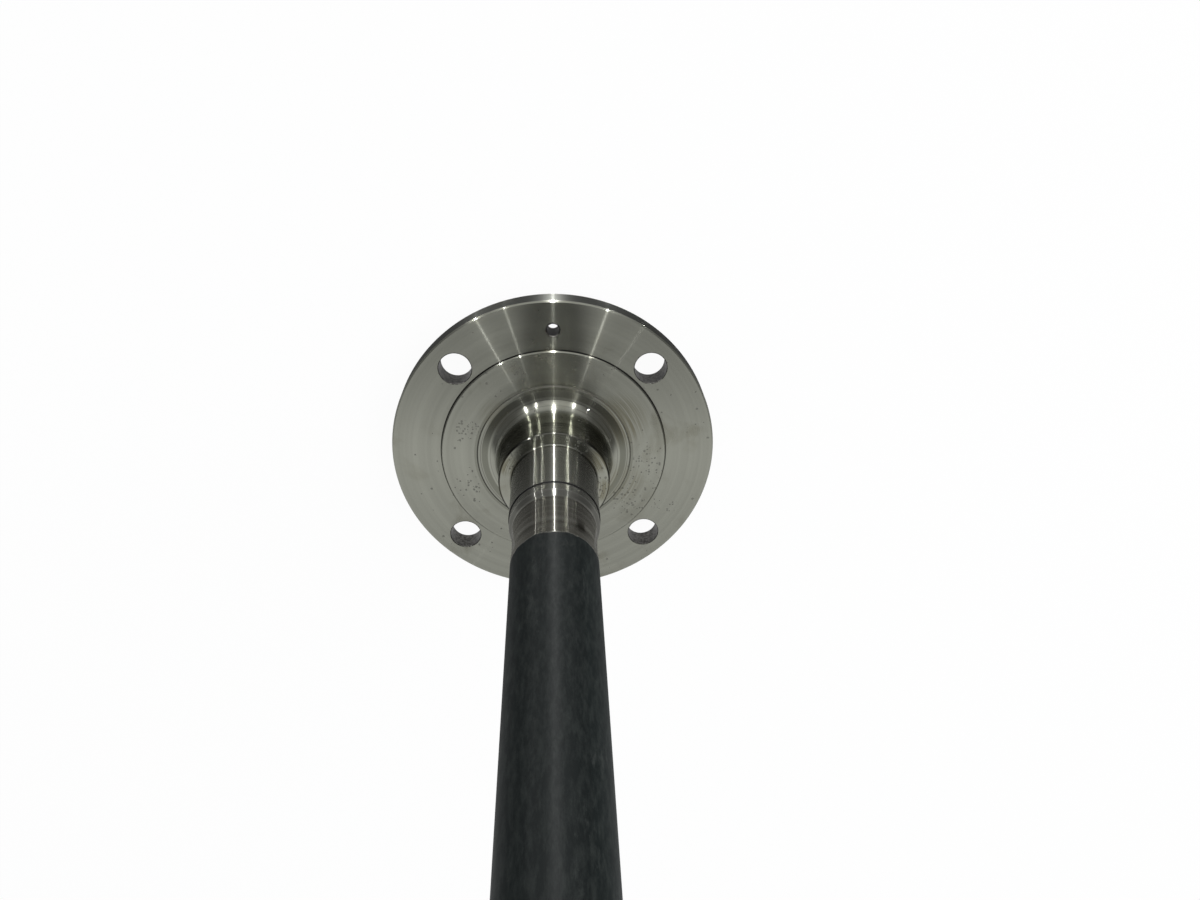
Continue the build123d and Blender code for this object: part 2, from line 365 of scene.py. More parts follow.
def flatRing(inner, outer, z, up, cuts, a):
    # Flat ring with round holes: constrained triangles over the border circles and the rings of points
    # between them.
    loops = [circle(inner, columns), circle(outer, columns)]
    loops += [circle(r, a["holeColumns"], c) for c, r in cuts]
    fill = []
    for radius in np.linspace(inner, outer, a["ringsBetween"] + 2)[1:-1]:
        ring = circle(radius, columns // 2)
        clear = np.ones(len(ring), bool)
        for c, r in cuts:
            clear &= np.hypot(*(ring - c).T) > r + a["holeClearance"]
        fill.append(ring[clear])
    borders, start = [], 0
    for loop in loops:
        index = np.arange(len(loop))
        borders += list(zip((start + index).tolist(), (start + np.roll(index, -1)).tolist()))
        start += len(loop)
    points = np.concatenate(loops + fill)
    found = delaunay_2d_cdt([Vector(q) for q in points], borders, [], 0, tiny)
    flat = points[[given[0] for given in found[3]]]     # the exact points, not their rounded copies
    tris = np.array([f for f in found[2] if len(f) == 3])
    middle = flat[tris].mean(axis=1)
    distance = np.hypot(*middle.T)
    keep = (distance > inner) & (distance < outer)
    for c, r in cuts:
        keep &= np.hypot(*(middle - c).T) > r
    p = np.concatenate([flat, np.full((len(flat), 1), z)], axis=1)[tris[keep]]
    normal = np.array([0, 0, 1.0 if up else -1.0])
    away = np.cross(p[:, 1] - p[:, 0], p[:, 2] - p[:, 0]) @ normal < 0
    p[away] = p[away][:, ::-1]
    return p, np.broadcast_to(normal, p.shape)


def spun(points, normals, a):
    # Copies of one tooth's triangles, one for each tooth.
    turn = np.arange(a["splineTeeth"]) * 2 * math.pi / a["splineTeeth"]
    c, s, o, i = np.cos(turn), np.sin(turn), np.zeros_like(turn), np.ones_like(turn)
    spin = np.stack([np.stack([c, -s, o], 1), np.stack([s, c, o], 1), np.stack([o, o, i], 1)], 1)
    return [np.einsum("kij,tcj->ktci", spin, v).reshape(-1, 3, 3) for v in (points, normals)]


def splinePatches(a):
    # Toothed end from the hob's run-out to the tip chamfer, and its lowest and highest loops.
    full, runOut, chamfer, top = a["teethFullZ"], runOutLength(a), a["chamferZ"], a["height"]
    rootMeets = a["splineMajorRadius"] - a["splineRootRadius"]     # how far up the chamfer the teeth end
    straight = np.concatenate([full - runOut * np.linspace(1, 0, a["runOutRows"]),
                               np.linspace(full, chamfer, a["toothRows"])[1:]])
    sloped = np.concatenate([np.linspace(chamfer, chamfer + rootMeets, a["tipRows"]), [top]])
    patches, loops = [], []
    for heights, lean in ((straight, 0), (sloped, math.sqrt(0.5))):
        found = [toothRow(h, a) for h in heights]
        angles, radii = (np.array([f[k] for f in found]) for k in (0, 1))
        period = 2 * math.pi / a["splineTeeth"]
        angles = np.concatenate([angles, angles[:, :1] + period], axis=1)
        radii = np.concatenate([radii, radii[:, :1]], axis=1)
        points, outward = carried(radii, heights[:, None], angles), carried(1.0, 0.0, angles)
        blankNormal = outward * math.sqrt(1 - lean ** 2) + np.array([0, 0, lean])
        for place, (first, last) in a["toothParts"].items():
            part = slice(first, last + 1)
            if place == "top":
                normal = blankNormal[:, part]
            else:
                across, along = (np.gradient(points[:, part], axis=k) for k in (1, 0))
                normal = np.cross(across, along)
                size = np.linalg.norm(normal, axis=2, keepdims=True)
                normal = np.where(size > tiny, normal / np.maximum(size, tiny), blankNormal[:, part])
            patches.append(spun(*triangles(points[:, part], normal), a))
        for row in (0, -1):
            ring = angles[row, :-1] + period * np.arange(a["splineTeeth"])[:, None]
            ring = np.append(ring.ravel(), angles[row, 0] + 2 * math.pi)
            size = np.append(np.tile(radii[row, :-1], a["splineTeeth"]), radii[row, 0])
            loops.append(carried(size, heights[row], ring))
    return patches, loops[0], loops[-1]


def bridge(row, loop, a):
    # Band between a turned row and the spline's loop: same count of points, started one flank back.
    turn = (np.arange(columns + 1) - a["flankPoints"]) * 2 * math.pi / columns
    r, z, nr, nz = row
    normal = carried(nr, nz, turn)
    return triangles(np.stack([carried(r, z, turn), loop]), np.stack([normal, normal]))


def axlePatches(a):
    # Every surface of the half shaft with the name of its finish.
    wheelSide, rim, hub, seat, shaft, tip = (
        rows(a) for rows in (wheelSideRows, rimRows, hubRows, seatRows, shaftRows, tipRows))
    patches = [(turnedStrip(rows), "turned") for rows in (wheelSide, rim, hub)]
    patches += [(turnedStrip(seat), "seat"), (turnedStrip(shaft), "shaft"), (turnedStrip(tip), "shaft")]
    backCuts, frontCuts = [], []
    for centre, radius, mouth in holeList(a):
        rows = holeRows(radius, mouth, a)
        p, n = turnedStrip(rows, a["holeColumns"])
        patches.append(((p + np.array([*centre, 0.0]), n), "hole"))
        backCuts.append((centre, rows[0, 0]))
        frontCuts.append((centre, rows[-1, 0]))
    patches.append((flatRing(wheelSide[-1, 0], rim[0, 0], a["faceZ"], False, backCuts, a), "turned"))
    patches.append((flatRing(hub[0, 0], rim[-1, 0], a["annulusZ"], True, frontCuts, a), "turned"))
    teeth, lower, upper = splinePatches(a)
    teeth += [bridge(shaft[-1], lower, a), bridge(tip[0], upper, a)]
    return patches + [(found, "shaft") for found in teeth]


def weldedMesh(name, patches, finishes):
    # One closed mesh: corners at the same place share a point, and each keeps its own exact normal.
    corners = np.concatenate([p for (p, _), _ in patches]).reshape(-1, 3)
    normals = np.concatenate([n for (_, n), _ in patches])
    finish = np.concatenate([np.full(len(p), finishes.index(f)) for (p, _), f in patches])
    rounded = np.round(corners, weldDecimals) + 0.0
    _, first, index = np.unique(rounded, axis=0, return_index=True, return_inverse=True)
    tris = index.reshape(-1, 3)
    whole = (tris[:, 0] != tris[:, 1]) & (tris[:, 1] != tris[:, 2]) & (tris[:, 2] != tris[:, 0])
    tris = tris[whole]
    mesh = bpy.data.meshes.new(name)
    mesh.from_pydata((corners[first] * mm).tolist(), [], tris.tolist())
    mesh.polygons.foreach_set("material_index", finish[whole].astype(np.int32))
    mesh.polygons.foreach_set("use_smooth", np.ones(len(tris), bool))
    mesh.normals_split_custom_set(normals[whole].reshape(-1, 3).tolist())
    mesh.update()
    sides = np.sort(np.concatenate([tris[:, [0, 1]], tris[:, [1, 2]], tris[:, [2, 0]]]), axis=1)
    uses = np.unique(sides, axis=0, return_counts=True)[1]
    print(f"{name}: {len(tris)} triangles, {int((uses != 2).sum())} open edges")
    return mesh


finishNames = ["turned", "seat", "shaft", "hole"]
axleMesh = weldedMesh("axleShaft", axlePatches(axle), finishNames)
axleShaft = bpy.data.objects.new("axleShaft", axleMesh)
bpy.context.scene.collection.objects.link(axleShaft)
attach(axleShaft, "root")
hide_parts("axle_shaft")
print("half shaft built")


def addNode(tree, kind, values=None, **settings):
    # A node with its settings. Values fill its inputs, with numbers or other nodes' outputs.
    node = tree.nodes.new(kind)
    for key, value in settings.items():
        setattr(node, key, value)
    for key, value in (values or {}).items():
        if isinstance(value, bpy.types.NodeSocket):
            tree.links.new(value, node.inputs[key])
        else:
            node.inputs[key].default_value = value
    return node


def maths(tree, operation, first, second=0.0, third=0.0):
    return addNode(tree, "ShaderNodeMath", {0: first, 1: second, 2: third}, operation=operation).outputs[0]


def times(tree, first, *others):
    for other in others:
        first = maths(tree, "MULTIPLY", first, other)
    return first


def vectorMaths(tree, operation, values):
    node = addNode(tree, "ShaderNodeVectorMath", values, operation=operation)
    return node.outputs["Value" if operation in ("LENGTH", "DISTANCE", "DOT_PRODUCT") else "Vector"]


def axes(tree, vector):
    return addNode(tree, "ShaderNodeSeparateXYZ", {0: vector}).outputs


def flattened(tree, vector):
    # A vector without its height.
    x, y, _ = axes(tree, vector)
    return addNode(tree, "ShaderNodeCombineXYZ", {0: x, 1: y}).outputs[0]


def mixColour(tree, factor, first, second):
    return addNode(tree, "ShaderNodeMix", {0: factor, 6: first, 7: second}, data_type="RGBA").outputs[2]


def mixValue(tree, factor, first, second):
    return addNode(tree, "ShaderNodeMix", {0: factor, 2: first, 3: second}).outputs[0]


def remap(tree, value, low, high, toLow=0.0, toHigh=1.0, curve="LINEAR"):
    values = {0: value, 1: low, 2: high, 3: toLow, 4: toHigh}
    return addNode(tree, "ShaderNodeMapRange", values, interpolation_type=curve).outputs[0]


def smooth(tree, value, ends, strength=1.0):
    return remap(tree, value, *ends, 0.0, strength, "SMOOTHSTEP")


def past(tree, value, start, ends):
    # Nought to one across a border, whose ends are given from a start.
    return remap(tree, value, start + ends[0], start + ends[1])


def noise(tree, place, scale, detail, roughness, distortion=0.0):
    return addNode(tree, "ShaderNodeTexNoise", {
        "Vector": place, "Scale": scale, "Detail": detail, "Roughness": roughness,
        "Distortion": distortion}).outputs[0]


def mixShader(tree, factor, first, second):
    return addNode(tree, "ShaderNodeMixShader", {0: factor, 1: first.outputs[0], 2: second.outputs[0]})


def makeGroup(name, inputs, outputs):
    # Node group whose inputs are (name, kind, default) and outputs (name, kind).
    tree = bpy.data.node_groups.new(name, "ShaderNodeTree")
    for label, kind, default in inputs:
        socket = tree.interface.new_socket(label, in_out="INPUT", socket_type="NodeSocket" + kind)
        if default is not None:
            socket.default_value = default
    for label, kind in outputs:
        tree.interface.new_socket(label, in_out="OUTPUT", socket_type="NodeSocket" + kind)
    return tree, tree.nodes.new("NodeGroupInput").outputs, tree.nodes.new("NodeGroupOutput").inputs


texture = {
    "bandEnds": (0.35, 0.65), "fineEnds": (0.3, 0.7),   # values of the tool marks that give the two extremes
    "markLayers": ((1.0, 3.0, 0.6), (9.0, 2.0, 0.5)),   # width in pitches, detail and roughness
    "stainNoise": (4.0, 0.62, 0.6),                     # detail, roughness and distortion
    "stainStart": 0.72, "stainCoverShare": 0.5, "stainBorder": 0.22,
    "pitNoise": (2.2, 2.0, 0.5), "pitLeast": 0.5, "pitLeastSize": 0.4,
    "patchCore": 0.4,                                   # share of a patch's radius that has its full strength
}


def cylinderGroup():
    # Place on a turned surface: radius, height, way along the profile and the bearing as a vector.
    tree, into, out = makeGroup("cylinderPlace", [("Position", "Vector", None)], [
        ("Radius", "Float"), ("Height", "Float"), ("Along", "Float"), ("Bearing", "Vector")])
    height, flat = axes(tree, into[0])[2], flattened(tree, into[0])
    radius = vectorMaths(tree, "LENGTH", {0: flat})
    tree.links.new(radius, out[0])
    tree.links.new(height, out[1])
    tree.links.new(maths(tree, "SUBTRACT", height, radius), out[2])
    tree.links.new(vectorMaths(tree, "NORMALIZE", {0: flat}), out[3])
    return tree


def toolMarkGroup():
    # Marks that a turning or grinding tool leaves round the axis: noise that is fine along the profile and
    # slow round it, so each line is a long arc.
    tree, into, out = makeGroup("toolMarks", [
        ("Along", "Float", 0.0), ("Bearing", "Vector", None), ("Pitch", "Float", 0.3), ("Arc", "Float", 2.0)],
        [("Fine", "Float"), ("Bands", "Float")])
    along, bearing, pitch, arc = into[:4]
    for k, (share, detail, rough) in enumerate(texture["markLayers"]):
        steps = maths(tree, "DIVIDE", along, times(tree, pitch, share))
        turn = vectorMaths(tree, "SCALE", {0: bearing, "Scale": maths(tree, "DIVIDE", arc, share)})
        x, y, _ = axes(tree, turn)
        where = addNode(tree, "ShaderNodeCombineXYZ", {0: x, 1: y, 2: steps}).outputs[0]
        tree.links.new(noise(tree, where, 1.0, detail, rough), out[k])
    return tree


def stainGroup():
    # Soft cloudy patches of oil and thin rust.
    tree, into, out = makeGroup("stains", [
        ("Position", "Vector", None), ("Size", "Float", 20.0), ("Cover", "Float", 0.4)], [("Mask", "Float")])
    position, size, cover = into[:3]
    large = noise(tree, position, maths(tree, "DIVIDE", 1.0, size), *texture["stainNoise"])
    low = maths(tree, "SUBTRACT", texture["stainStart"], times(tree, cover, texture["stainCoverShare"]))
    high = maths(tree, "ADD", low, texture["stainBorder"])
    tree.links.new(smooth(tree, large, (low, high)), out[0])
    return tree


def pitGroup():
    # Scattered small pits: cells whose random value is low hold one dark spot each.
    tree, into, out = makeGroup("pits", [
        ("Position", "Vector", None), ("Spacing", "Float", 4.0), ("Share", "Float", 0.2),
        ("Size", "Float", 0.25)], [("Mask", "Float")])
    position, spacing, share, size = into[:4]
    cells = addNode(tree, "ShaderNodeTexVoronoi", {
        "Vector": position, "Scale": maths(tree, "DIVIDE", 1.0, spacing)}, feature="F1").outputs
    chosen = addNode(tree, "ShaderNodeSeparateColor", {0: cells["Color"]}).outputs
    wobble = maths(tree, "ADD", noise(tree, position, *texture["pitNoise"]), texture["pitLeast"])
    reach = times(tree, maths(tree, "DIVIDE", size, spacing), wobble,
                  maths(tree, "ADD", chosen[1], texture["pitLeastSize"]))
    spot = maths(tree, "LESS_THAN", cells["Distance"], reach)
    tree.links.new(times(tree, spot, maths(tree, "LESS_THAN", chosen[0], share)), out[0])
    return tree


groups = {"cylinder": cylinderGroup(), "marks": toolMarkGroup(), "stains": stainGroup(), "pits": pitGroup()}


def useGroup(tree, name, values):
    return addNode(tree, "ShaderNodeGroup", values, node_tree=groups[name]).outputs


def newMaterial(name):
    material = bpy.data.materials.new(name)
    material.use_nodes = True
    tree = material.node_tree
    tree.nodes.clear()
    place = addNode(tree, "ShaderNodeTexCoord").outputs["Object"]
    return material, tree, vectorMaths(tree, "SCALE", {0: place, "Scale": 1 / mm})


def turnedBase(name, s):
    # What the turned finishes share: the place on the surface, the tool marks, and their steel and roughness.
    material, tree, position = newMaterial(name)
    place = useGroup(tree, "cylinder", {"Position": position})
    marks = useGroup(tree, "marks", {
        "Along": place["Along"], "Bearing": place["Bearing"], "Pitch": s["pitch"], "Arc": s["arc"]})
    steel = mixColour(tree, remap(tree, marks["Bands"], *texture["bandEnds"]), s["colour"], s["dull"])
    low, high = (s["roughness"] + side * s["roughnessSpread"] / 2 for side in (-1, 1))
    roughness = remap(tree, marks["Fine"], *texture["fineEnds"], low, high)
    return material, tree, position, place, marks["Fine"], steel, roughness


def finishShader(tree, colour, roughness, metallic, height, settings, shine=0.5, streak=None):
    # Anisotropic metal whose grooves run round the axis, with the marks as a shallow bump. The grooves' steep
    # sides are a second gloss that is spread far along the profile and hardly at all round the axis.
    bump = addNode(tree, "ShaderNodeBump", {
        "Strength": settings["bump"], "Distance": settings["bumpDepth"] * mm, "Height": height}).outputs[0]
    tangent = addNode(tree, "ShaderNodeTangent", direction_type="RADIAL", axis="Z").outputs[0]
    shader = addNode(tree, "ShaderNodeBsdfPrincipled", {
        "Base Color": colour, "Roughness": roughness, "Metallic": metallic, "Normal": bump,
        "Specular IOR Level": shine, "Specular Tint": settings["edgeTint"],
        "Anisotropic": settings["anisotropy"], "Anisotropic Rotation": settings["grain"], "Tangent": tangent})
    if streak is not None:
        spread, width = settings["streakSpread"], settings["streakWidth"]
        steep = addNode(tree, "ShaderNodeBsdfAnisotropic", {
            "Color": colour, "Normal": bump, "Tangent": tangent,
            "Roughness": (spread * width) ** 0.25, "Anisotropy": 1 - math.sqrt(width / spread)},
            distribution="GGX")
        shader = mixShader(tree, streak, shader, steep)
    addNode(tree, "ShaderNodeOutputMaterial", {0: shader.outputs[0]})


def ringMask(tree, value, low, high, soft, strength=1.0):
    # Ring between two values of a radius, or of a place along the profile, with soft borders.
    rise = remap(tree, value, low - soft, low + soft)
    return times(tree, rise, remap(tree, value, high + soft, high - soft, 0.0, strength))


def patchMask(tree, position, patches):
    # Highest of several round soft patches, each (x, y, radius in mm, strength).
    flat, highest = flattened(tree, position), 0.0
    for x, y, radius, strength in patches.values():
        away = vectorMaths(tree, "DISTANCE", {0: flat, 1: (x, y, 0)})
        patch = smooth(tree, away, (radius, radius * texture["patchCore"]), strength)
        highest = maths(tree, "MAXIMUM", highest, patch)
    return highest


# Rings and lines are (from, to, soft width, strength) and reaches (from, to, strength at either), all in mm.
turnedFinish = {
    "colour": (0.28, 0.285, 0.246, 1), "dull": (0.25, 0.254, 0.219, 1), "stain": (0.15, 0.14, 0.095, 1),
    # line and edge are dark colours for lines round the axis, painted shade where they sit in steps and
    # corners.
    "pit": (0.02, 0.018, 0.015, 1), "line": (0.07, 0.068, 0.055, 1), "edge": (0.02, 0.02, 0.018, 1),
    # rim is painted shade: a darker colour for the flange's rim wall.
    "rim": (0.085, 0.087, 0.08, 1), "dullColour": (0.128, 0.131, 0.106, 1),
    "pitPatches": {
        "right": (39.0, -6.0, 14.0, 0.3), "rightLow": (33.0, -23.0, 11.0, 0.5),
        "rightOut": (50.0, -26.0, 7.0, 0.35), "left": (-37.0, 13.0, 7.0, 0.65),
        "leftLow": (-37.0, -15.0, 11.0, 0.28), "top": (-15.0, 38.0, 6.0, 0.3),
        "collarRight": (20.5, -2.0, 7.0, 1.0), "collarLeft": (-17.0, 10.0, 6.0, 0.5),
        "collarTop": (11.0, 17.0, 5.0, 0.7)},
    "pitSpacing": 1.15, "pitSize": 0.45, "pitShare": 0.015, "pitDepth": 0.42,
    "oilPatches": {
        "right": (28.0, 17.0, 15.0, 0.8), "rightLow": (30.0, -14.0, 13.0, 0.5),
        "left": (-24.0, 20.0, 9.0, 0.5), "face": (17.0, 10.0, 7.0, 1.0),
        "faceLeft": (-18.0, 8.0, 6.0, 0.9), "faceRight": (21.0, -4.0, 7.0, 0.9)},
    "oilGrain": (0.4, 0.6), "stainSize": 26.0, "stainCover": 0.35, "stainShare": 0.35, "stainRoughness": 0.1,
    "marksStart": 12.0, "marksEnd": 22.0, "marksBorder": (0.0, 1.0),        # heights with rings and lines
    "dullRings": {"cone": (28.55, 31.25, 0.15, 0.75), "foot": (33.1, 34.4, 0.15, 0.5)},
    # ringLine and rootLine are painted shade, on the ring's small step and in the corner at the land's foot.
    "ringLine": (32.8, 33.35, 0.1), "rootLine": (48.4, 48.85, 0.08), "arcBreak": (0.8, 0.0, 0.4, 1.0),
    # The arcs beside the cone's corners are painted shade over the corners' glints; the sweep's arc is a dark
    # line.
    "arcs": {
        "coneTop": (31.65, 31.95, 0.12, 0.6), "coneFoot": (27.4, 27.65, 0.12, 0.5),
        "sweep": (25.3, 25.5, 0.12, 0.5)},
    "collarArcs": {
        "low": (9.7, 10.4, 0.2, 0.85), "middle": (11.6, 12.3, 0.2, 0.8), "high": (14.0, 14.4, 0.2, 0.6)},
    # cornerLine and edgeLine are painted shade, in the seat's corner and on the collar's edge; their reaches
    # weaken them towards +Y.
    "cornerLine": (23.8, 25.6, 0.2), "cornerReach": (16.0, 13.0, 0.3, 0.65),
    "edgeLine": (18.1, 19.75, 0.15), "edgeReach": (21.0, 16.0, 0.7, 1.0),
    "roughness": 0.15, "roughnessSpread": 0.04, "pitch": 0.35, "arc": 1.2, "lineRoughness": 0.5,
    "flatStart": (30.0, 34.0), "flatRoughness": 0.06, "wallBorder": (-0.15, -0.02), "edgeRoughness": 0.15,
    "streakSpread": 0.2, "streakWidth": 0.0018, "streakRise": (34.0, 46.0, 0.05, 0.15),
    "streakFlatStart": (47.0, 48.0), "streakFlat": 0.3,
    "glintRings": {"land": (47.9, 48.4, 0.1, 0.75), "rim": (68.8, 69.4, 0.1, 0.75)},
    "bump": 0.015, "bumpDepth": 0.02, "anisotropy": 1.0, "grain": 0.25, "edgeTint": (0.65, 0.65, 0.65, 1),
}


def turnedMaterial(s):
    material, tree, position, place, fine, colour, roughness = turnedBase("turnedSteel", s)
    radius, height, along, across = place["Radius"], place["Height"], place["Along"], axes(tree, position)[1]
    stains = useGroup(tree, "stains", {
        "Position": position, "Size": s["stainSize"], "Cover": s["stainCover"]})[0]
    share = maths(tree, "ADD", patchMask(tree, position, s["pitPatches"]), s["pitShare"])
    pits = useGroup(tree, "pits", {
        "Position": position, "Spacing": s["pitSpacing"], "Share": share, "Size": s["pitSize"]})[0]
    facing = times(tree, past(tree, height, s["marksEnd"], s["marksBorder"][::-1]),
                   past(tree, height, s["marksStart"], s["marksBorder"]))
    dull = 0.0
    for ring in s["dullRings"].values():
        dull = maths(tree, "MAXIMUM", dull, ringMask(tree, radius, *ring))
    colour = mixColour(tree, times(tree, dull, facing), colour, s["dullColour"])
    # Painted shade: a dark, dull, non-metal line on the ring's step, and a darker one in the corner at the
    # land's foot.
    line = times(tree, ringMask(tree, radius, *s["ringLine"]), facing)
    colour = mixColour(tree, line, colour, s["line"])
    colour = mixColour(tree, times(tree, ringMask(tree, radius, *s["rootLine"]), facing), colour, s["edge"])
    broken = remap(tree, stains, *s["arcBreak"])
    # Dark arcs, broken up by the stains; those beside the cone's corners are painted shade.
    for arc in s["arcs"].values():
        colour = mixColour(tree, times(tree, ringMask(tree, radius, *arc), facing, broken), colour, s["line"])
    for arc in s["collarArcs"].values():
        colour = mixColour(tree, times(tree, ringMask(tree, along, *arc), broken), colour, s["edge"])
    # Painted shade in the seat's corner and on the collar's edge, weaker towards +Y, the lamps' side.
    for ring, reach in (("cornerLine", "cornerReach"), ("edgeLine", "edgeReach")):
        edgeAndCornerShade = times(tree, ringMask(tree, along, *s[ring]), remap(tree, across, *s[reach]))
        colour = mixColour(tree, edgeAndCornerShade, colour, s["edge"])
    oil = times(tree, patchMask(tree, position, s["oilPatches"]), remap(tree, fine, *s["oilGrain"]))
    oil = maths(tree, "MAXIMUM", oil, times(tree, stains, s["stainShare"]))
    colour = mixColour(tree, oil, colour, s["stain"])
    pitted = times(tree, pits, s["pitDepth"])
    colour = mixColour(tree, pitted, colour, s["pit"])
    # Painted shade: the rim's wall gets a darker colour than the rest of the steel.
    wall = past(tree, radius, axle["flangeRadius"], s["wallBorder"])
    colour = mixColour(tree, wall, colour, s["rim"])
    flat = remap(tree, radius, *s["flatStart"])
    for mask, rise in ((stains, "stainRoughness"), (flat, "flatRoughness"), (wall, "edgeRoughness"),
                       (line, "lineRoughness")):
        roughness = maths(tree, "ADD", roughness, times(tree, mask, s[rise]))
    metallic = times(tree, maths(tree, "SUBTRACT", 1.0, pitted), maths(tree, "SUBTRACT", 1.0, line))
    streak = mixValue(tree, remap(tree, radius, *s["streakFlatStart"]), remap(tree, radius, *s["streakRise"]),
                      s["streakFlat"])
    for ring in s["glintRings"].values():
        streak = maths(tree, "MAXIMUM", streak, ringMask(tree, radius, *ring))
    bumps = maths(tree, "SUBTRACT", fine, pits)
    finishShader(tree, colour, roughness, metallic, bumps, s, streak=streak)
    return material


streakedSteel = {
    "streakSpread": 0.35, "streakWidth": 0.002, "streakShare": 0.27,
    "anisotropy": 1.0, "grain": 0.25, "edgeTint": (0.55, 0.55, 0.55, 1),
}

seatFinish = {
    # The darkest colour is painted shade, in the fillet at the seat's foot and in the groove at its end.
    "colour": (0.29, 0.292, 0.265, 1), "dull": (0.25, 0.252, 0.228, 1), "paintedShade": (0.006, 0.006, 0.005, 1),
    "cornerReach": (16.0, 13.0, 0.25, 0.6), "cornerTop": (1.0, 0.5), "grooveStart": (-0.3, -0.2),
    "roughness": 0.2, "roughnessSpread": 0.03, "pitch": 0.2, "arc": 1.0,
    "bump": 0.002, "bumpDepth": 0.01, **streakedSteel,
}


def seatMaterial(s):
    material, tree, position, place, fine, colour, roughness = turnedBase("groundSteel", s)
    # Painted shade in the fillet at the seat's foot, weaker towards +Y, and in the groove, which is also dull
    # and not metal.
    corner = times(tree, remap(tree, axes(tree, position)[1], *s["cornerReach"]),
                   past(tree, place["Height"], axle["collarZ"], s["cornerTop"]))
    groove = past(tree, place["Height"], axle["seatEndZ"], s["grooveStart"])
    colour = mixColour(tree, maths(tree, "MAXIMUM", groove, corner), colour, s["paintedShade"])
    metallic = maths(tree, "SUBTRACT", 1.0, groove)
    streak = times(tree, metallic, s["streakShare"])
    finishShader(tree, colour, maths(tree, "MAXIMUM", roughness, groove), metallic, fine, s, streak=streak)
    return material


shaftFinish = {
    # The darkest colour is painted shade in the groove's end.
    "colour": (0.225, 0.222, 0.2, 1), "dull": (0.14, 0.136, 0.118, 1), "paintedShade": (0.006, 0.006, 0.005, 1),
    # The darker steel for the lead-in's taper is painted shade.
    "leadIn": (0.29, 0.292, 0.265, 1), "taperShade": (0.13, 0.13, 0.117, 1), "stain": (0.03, 0.027, 0.02, 1),
    "leadInEnd": (1.0, -0.5), "taperSoft": 0.6, "grooveEnd": (0.2, 0.1),
    "stainPlace": {"neck": (9.5, 12.4, 2.4, 0.8)}, "stainHeight": (91.0, 97.0, 2.0),
    "scale": (0.0068, 0.0102, 0.0102, 1), "scaleLight": (0.022, 0.027, 0.0252, 1),
    "scaleStart": 102.0, "scaleEnd": 545.0, "scaleBorder": (-0.35, 0.35), "scaleWander": 1.9,
    # noises are scale, detail, roughness and distortion
    "wanderNoise": (0.22, 4.0, 0.65), "mottleNoise": (0.6, 6.0, 0.72), "mottleEnds": (0.42, 0.68),
    "mottleStretch": (1.0, 1.0, 0.3), "skinNoise": (1.1, 5.0, 0.7), "skinHeight": 3.0,
    "scuff": (0.05, 0.056, 0.052, 1), "scuffNoise": (0.12, 8.0, 0.8, 0.4), "scuffEnds": (0.58, 0.76),
    "scaleRoughness": (0.66, 0.8), "scaleShine": 0.26,
    "roughness": 0.19, "roughnessSpread": 0.04, "pitch": 0.3, "arc": 1.2,
    "bump": 0.03, "bumpDepth": 0.02, **streakedSteel,
}


def shaftMaterial(s):
    # Bright turned steel at both ends and dark forging scale between them, with a wandering border.
    material, tree, position, place, fine, steel, roughness = turnedBase("shaftSteel", s)
    height, neck = place["Height"], axle["neckStartZ"]
    wander = maths(tree, "SUBTRACT", noise(tree, position, *s["wanderNoise"]), 0.5)
    shifted = maths(tree, "MULTIPLY_ADD", wander, 2 * s["scaleWander"], height)
    scale = times(tree, past(tree, shifted, s["scaleStart"], s["scaleBorder"]),
                  past(tree, shifted, s["scaleEnd"], s["scaleBorder"][::-1]))
    steel = mixColour(tree, past(tree, height, neck, s["leadInEnd"]), steel, s["leadIn"])
    # Painted shade: the lead-in's taper is darker than the steel round it.
    taperShade = ringMask(tree, height, neck - axle["leadInTaper"], neck, s["taperSoft"])
    steel = mixColour(tree, taperShade, steel, s["taperShade"])
    stain = times(tree, patchMask(tree, position, s["stainPlace"]), ringMask(tree, height, *s["stainHeight"]))
    steel = mixColour(tree, stain, steel, s["stain"])
    stretched = vectorMaths(tree, "MULTIPLY", {0: position, 1: s["mottleStretch"]})
    mottle = remap(tree, noise(tree, stretched, *s["mottleNoise"]), *s["mottleEnds"])
    scuffs = remap(tree, noise(tree, stretched, *s["scuffNoise"]), *s["scuffEnds"])
    skin = mixColour(tree, scuffs, mixColour(tree, mottle, s["scale"], s["scaleLight"]), s["scuff"])
    grain = noise(tree, position, *s["skinNoise"])
    skinRoughness = remap(tree, grain, *texture["fineEnds"], *s["scaleRoughness"])
    # Painted shade in the end of the groove below the lead-in: dark, dull and not metal.
    groove = past(tree, height, axle["grooveEndZ"], s["grooveEnd"])
    colour = mixColour(tree, groove, mixColour(tree, scale, steel, skin), s["paintedShade"])
    rough = maths(tree, "MAXIMUM", mixValue(tree, scale, roughness, skinRoughness), groove)
    metallic = maths(tree, "SUBTRACT", 1.0, maths(tree, "MAXIMUM", scale, groove))
    bumps = mixValue(tree, scale, fine, times(tree, grain, s["skinHeight"]))
    streak = times(tree, metallic, s["streakShare"])
    finishShader(tree, colour, rough, metallic, bumps, s, s["scaleShine"], streak)
    return material


holeFinish = {
    # The darkest colour is painted shade inside the locating hole.
    "colour": (0.095, 0.093, 0.086, 1), "dull": (0.022, 0.021, 0.019, 1), "holeShade": (0.008, 0.008, 0.007, 1),
    "grainNoise": (0.9, 5.0, 0.7), "grainEnds": (0.42, 0.6),
    "deepReach": 4.0, "deepStart": (0.0, -0.2),     # in radii of the locating hole, from its chamfer's foot
    "roughness": 0.45, "bump": 0.3, "bumpDepth": 0.03, "anisotropy": 0.0, "grain": 0.0,
    "edgeTint": (1, 1, 1, 1),
}


